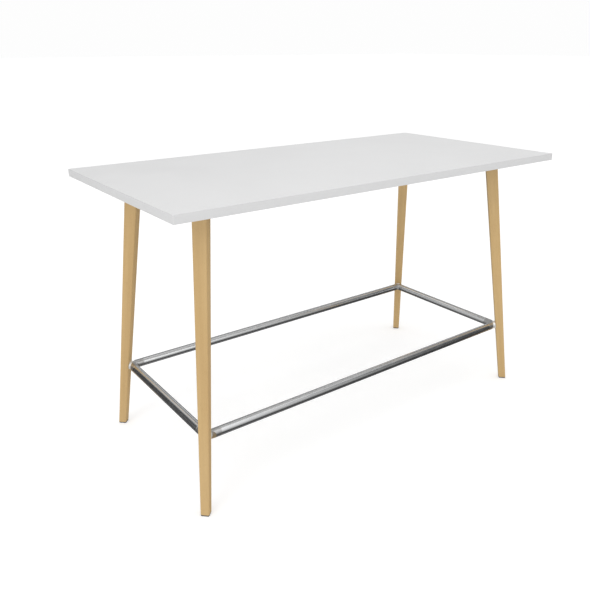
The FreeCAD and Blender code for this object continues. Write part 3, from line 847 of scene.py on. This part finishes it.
def screw_head():
    """A pan head under a plate: a dome with a cross recess pressed into it.

    The height at radius r is a flattened dome, and inside the cross (where the smaller
    of |x| and |y| is under half its width) it is pressed down by a smooth step.
    """
    reach, tall, cross, wide, deep = 4.5, 2.8, 2.3, 0.55, 1.7
    share = np.linspace(0, 1, 30)[:, None]
    turn = full_turn(72)
    x, y = reach * share * np.cos(turn), reach * share * np.sin(turn)
    dome = tall * (1 - 0.25 * share ** 2 - 0.5 * share ** 10) + 0 * turn
    arm = np.minimum(np.abs(x), np.abs(y))
    in_arm = np.clip((wide + 0.12 - arm) / 0.24, 0, 1)
    in_reach = np.clip((cross + 0.2 - reach * share) / 0.5, 0, 1)
    height = dome - deep * in_arm * in_reach
    head = np.stack([x, y, height], axis=-1)
    base = head[-1:] * [1, 1, 0]
    return np.concatenate([head, base, base * 0])


def dress_screws(finishes):
    """Three wood screws hold each bracket's plate to the board."""
    head = screw_head() * [1, 1, -1]
    shapes = [surface(at_corner(head + [x, y, LEG_TOP], corner))
              for corner in CORNERS for x, y in SCREW_PLACES]
    make_piece("bracket_screws", shapes, finishes["fastener_steel"], sharp=50)


def nut(flat, height, bore):
    """A hexagon nut from 0 to `height`: chamfered corners, countersunk bore.

    The side's radius is the smaller of the hexagon's and of a cone that opens from each
    face, which gives the curved edge of the chamfer.
    """
    sink = 0.6
    side = hexagon(flat, full_turn(96))
    depth = np.linspace(0, 1.4, 6)
    low = [(d, np.minimum(side, flat * 0.96 + d * math.sqrt(3))) for d in depth]
    high = [(height - d, r) for d, r in low[::-1]]
    return turned([(sink, bore), (0, bore + sink), *low, *high,
                   (height, bore + sink), (height - sink, bore)])


def dress_hangers(finishes):
    """Hanger bolts with their threads, and the nuts that pull the legs to their seats."""
    face = HEAD_FACE + FACE_LEAN * HANGER_DROP
    origin, outwards = (face, LEG_TOP - HANGER_DROP), (1, FACE_LEAN)
    low = -SEAT_THICKNESS - NUT_HEIGHT - PAST_NUT
    tip = turned([(low, 0), (low, 3.6)], 40)
    threaded = thread(HANGER_RADIUS, HANGER_PITCH, low + 0.6, 0, HANGER_THREAD, 40)
    shank = turned([(0, HANGER_CORE), (HANGER_IN_LEG - 4, HANGER_CORE),
                    (HANGER_IN_LEG, 1.2), (HANGER_IN_LEG, 0)], 40)
    bolt = about_axis(np.concatenate([tip, threaded, shank]), origin, outwards)
    make_piece("threaded_hangers", at_corners(bolt), finishes["fastener_steel"],
               sharp=50)
    ring = nut(NUT_FLAT, NUT_HEIGHT, HANGER_RADIUS + 0.05)
    ring = about_axis(ring - [0, 0, SEAT_THICKNESS + NUT_HEIGHT], origin, outwards)
    make_piece("hexagon_nuts", at_corners(ring, along=True), finishes["fastener_steel"])


# ---------------------------------------------------------------- glides


def dress_foot_sleeves(finishes):
    """Threaded sleeves in the legs' lower ends, which take the screws of the glides."""
    outside, inside = SLEEVE_BORE - SLEEVE_PLAY, STUD_RADIUS + STUD_PLAY
    top = LEG_END + SLEEVE_LENGTH
    shape = turned([
        (LEG_END, STUD_RADIUS + 0.5), (LEG_END, SLEEVE_BORE - 0.35), (LEG_END + 0.3, outside),
        (top, outside), (top, inside), (LEG_END + 0.45, inside)], 64)
    make_piece("foot_sleeves", at_corners(shape + [FOOT_OUT, 0, 0], along=True),
               finishes["fastener_steel"])


def glide_pad():
    """A square pad with a rounded rim, and a hexagon recess in its upper side."""
    height, cut = np.array([
        (0, 0.9), (0.25, 0.35), (0.8, 0), (3.2, 0), (3.7, 0.15), (GLIDE_THICKNESS, 0.6)]).T
    half = GLIDE_WIDTH / 2 - cut
    x, y = round_rectangle(half, half, GLIDE_CORNER - cut / 2, 9)
    bearing = np.arctan2(y[0], x[0])
    recess = hexagon(STUD_HEAD_FLAT + HEAD_PLAY, bearing)
    pocket = np.array([recess, recess, 0 * recess])
    x = np.concatenate([[0 * recess], x, pocket * np.cos(bearing)])
    y = np.concatenate([[0 * recess], y, pocket * np.sin(bearing)])
    height = np.array([0, *height, GLIDE_THICKNESS, STUD_HEAD_LOW, STUD_HEAD_LOW])
    return stack_rows(x, y, height) + [FOOT_OUT, 0, 0]


def glide_screw():
    """A screw with its hexagon head in the pad's recess."""
    columns = 48
    key = hexagon(STUD_HEAD_FLAT, full_turn(columns))
    head = turned([
        (STUD_HEAD_LOW, 0), (STUD_HEAD_LOW, key), (GLIDE_THICKNESS - 0.2, key),
        (GLIDE_THICKNESS, key - 0.3), (GLIDE_THICKNESS, STUD_RADIUS - STUD_THREAD)], columns)
    threaded = thread(
        STUD_RADIUS, STUD_PITCH, GLIDE_THICKNESS, STUD_TOP - 0.5, STUD_THREAD, columns)
    tip = turned([(STUD_TOP, STUD_TIP), (STUD_TOP, 0)], columns)
    return np.concatenate([head, threaded, tip]) + [FOOT_OUT, 0, 0]


def dress_glides(finishes):
    """Under each leg a pad, and the screw moulded into it."""
    pad, screw = glide_pad(), glide_screw()
    for corner in CORNERS:
        make_piece(f"glide_foot_{corner}", [surface(at_corner(pad, corner))],
                   finishes["glide_plastic"], body=f"glide_{corner}",
                   nodes=[f"glide_pad_{corner}"])
        make_piece(f"glide_screw_{corner}", [surface(at_corner(screw, corner))],
                   finishes["fastener_steel"], body=f"glide_{corner}",
                   nodes=[f"glide_stud_{corner}"], sharp=50)


# ---------------------------------------------------------------- studio, in metres

FLOOR_REACH, FLOOR_LEVEL = 90.0, -0.0005
ROOM_WHITE, BACKDROP_LIFT = 0.90, 0.085


def make_floor():
    """A plain pale floor that runs out of sight, a hair below the glides."""
    mesh = bpy.data.meshes.new("floor")
    reach = FLOOR_REACH
    corners = [(-reach, -reach, 0), (reach, -reach, 0), (reach, reach, 0), (-reach, reach, 0)]
    mesh.from_pydata(corners, [], [(0, 1, 2, 3)])
    finish = Finish("pale_floor", Base_Color=(0.76, 0.76, 0.76, 1), Roughness=0.9,
                    Specular_IOR_Level=0.1, Emission_Color=(1, 1, 1, 1),
                    Emission_Strength=0.36)
    mesh.materials.append(finish.material)
    floor = bpy.data.objects.new("floor", mesh)
    floor.location.z = FLOOR_LEVEL
    floor.visible_glossy = False
    bpy.context.scene.collection.objects.link(floor)


def make_light(name, place, target, size, power, hidden=False):
    """A soft square light that looks at a point. Gloss doesn't see a hidden one."""
    lamp = bpy.data.lights.new(name, "AREA")
    lamp.shape = "SQUARE"
    lamp.size = size
    lamp.energy = power
    light = bpy.data.objects.new(name, lamp)
    light.location = place
    light.rotation_mode = "QUATERNION"
    aim = Vector(target) - Vector(place)
    light.rotation_quaternion = aim.to_track_quat("-Z", "Y")
    light.visible_glossy = not hidden
    bpy.context.scene.collection.objects.link(light)


def make_studio():
    """An even white room, a shade whiter behind the table, with four soft lights.

    Gloss sees a darker studio instead: a dim ground and walls, a ceiling that brightens
    upwards, and soft panels of light at the front, at the left and at the back. Heights
    in it are the upward part of a direction, from -1 below to 1 overhead.
    """
    world = bpy.data.worlds.new("white_room")
    world.use_nodes = True
    room = Board(world.node_tree)
    way = room.add("ShaderNodeTexCoord", output="Generated")
    parts = room.add("ShaderNodeSeparateXYZ", {}, {"Vector": way}).socket.node.outputs
    x, y, up = (Wire(room, part) for part in parts)
    bearing = room.maths("ARCTAN2", x, y * -1.0)

    def panel(centre, inner, outer, low, high, light, fade=None):
        """A panel of light about a bearing, in degrees from the front.

        It fades to the sides from `inner` to `outer` degrees off, fades in upwards from
        `low` to `high`, and out again over the span `fade`.
        """
        turn = {0: bearing - math.radians(centre), 1: math.pi, 2: -math.pi}
        off = room.maths("ABSOLUTE", room.add("ShaderNodeMath", {"operation": "WRAP"}, turn))
        across = room.span(off, math.radians(inner), math.radians(outer), light, 0.0)
        glow = across * room.span(up, low, high)
        return glow * room.span(up, *fade, 1, 0) if fade else glow

    ground = room.span(up, -0.95, -0.7, 0.26, 0.05)
    ceiling = room.span(up, 0.4, 0.7, 0, 0.2) + room.span(up, 0.7, 0.88, 0, 0.5)
    front = panel(-15, 36, 60, -0.5, 0.55, 1.2) + panel(42, 12, 26, 0.6, 0.75, 0.28)
    left = panel(-115, 15, 25, -0.9, 0.3, 0.6) + panel(-140, 20, 50, 0.6, 0.68, 0.45)
    back = (panel(126, 15, 45, 0.08, 0.18, 0.64, (0.4, 0.53))
            + panel(178, 10, 20, 0.36, 0.46, 0.5, (0.6, 0.7))
            + panel(-158, 6, 14, -0.65, -0.5, 0.12, (-0.45, -0.3)))
    studio = ground + ceiling + front + left + back
    gloss_ray = room.add("ShaderNodeLightPath", output="Is Glossy Ray")
    camera_ray = room.add("ShaderNodeLightPath", output="Is Camera Ray")
    white = room.span(gloss_ray, 0, 1, ROOM_WHITE, 0) + camera_ray * BACKDROP_LIFT
    room.feed(room.tree.nodes["Background"].inputs["Color"], white + studio * gloss_ray)
    bpy.context.scene.world = world
    make_light("softbox_top", (-0.8, -1.2, 4.2), (0, 0, 0.8), 3.0, 6)
    make_light("softbox_left", (-9.0, -2.0, 3.7), (0, 0, 0.7), 5.0, 70)
    make_light("softbox_front", (-7.2, -3.2, 6.3), (0, 0, 0.5), 4.0, 105, hidden=True)
    make_light("softbox_right", (7.6, -4.4, 3.0), (0, 0, 0.5), 4.0, 65, hidden=True)
    bpy.context.scene.view_settings.view_transform = "Standard"


def make_camera():
    """The viewing angle: from the front left corner and a little above the top."""
    azimuth, elevation = math.radians(-37.23), math.radians(19.79)
    back = Vector((math.sin(azimuth) * math.cos(elevation),
                   -math.cos(azimuth) * math.cos(elevation), math.sin(elevation)))
    lens = bpy.data.cameras.new("camera")
    lens.sensor_width = 36.0
    lens.lens = 39.39
    lens.shift_x = -0.0288
    lens.shift_y = -0.0297
    lens.clip_start = 0.05
    lens.clip_end = 200.0
    camera = bpy.data.objects.new("camera", lens)
    camera.location = (-1.6446, -2.0672, 1.5432)
    camera.rotation_mode = "QUATERNION"
    camera.rotation_quaternion = (-back).to_track_quat("-Z", "Y")
    bpy.context.scene.collection.objects.link(camera)
    bpy.context.scene.camera = camera


# ---------------------------------------------------------------- the table

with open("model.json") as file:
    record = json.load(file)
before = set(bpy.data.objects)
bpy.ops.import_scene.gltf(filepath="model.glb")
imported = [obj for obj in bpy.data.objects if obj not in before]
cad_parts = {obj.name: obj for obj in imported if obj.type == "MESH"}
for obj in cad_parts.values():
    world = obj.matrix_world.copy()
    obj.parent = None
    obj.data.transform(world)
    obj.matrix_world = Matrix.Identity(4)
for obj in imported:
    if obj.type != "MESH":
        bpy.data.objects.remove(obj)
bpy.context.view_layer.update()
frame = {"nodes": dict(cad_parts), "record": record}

finishes = {
    "tabletop": white_laminate(),
    "edge_band": white_edging(),
    "leg_wood": lacquered_beech(),
    "underframe": powder_coat(),
    "chrome": chrome("bright_chrome", smooth=0.15, dull=0.23, depth=0.00002),
    "corner": chrome("cast_chrome", smooth=0.30, dull=0.38, depth=0.00005),
    "collar": metal("satin_plating", smooth=0.34, dull=0.44, scale=90, metallic=0.4),
    "cap": metal("bright_zinc", smooth=0.30, dull=0.42, scale=160, metallic=0.5),
    "fastener_steel": metal("zinc_plating", smooth=0.24, dull=0.40, scale=160),
    "glide_plastic": moulded_nylon(),
}
slots = {part["node"]: part["material_slot"] for part in frame["record"]["subparts"]}
for node, solid in frame["nodes"].items():
    solid.data.materials.clear()
    solid.data.materials.append(finishes[slots[node]])

dress_top(finishes)
dress_legs(finishes)
dress_tubes(finishes)
dress_connectors(finishes)
dress_collars(finishes)
dress_rest_bolts(finishes)
dress_rails(finishes)
dress_brackets(frame, finishes)
dress_welds(finishes)
dress_screws(finishes)
dress_hangers(finishes)
dress_foot_sleeves(finishes)
dress_glides(finishes)

make_floor()
make_studio()
make_camera()
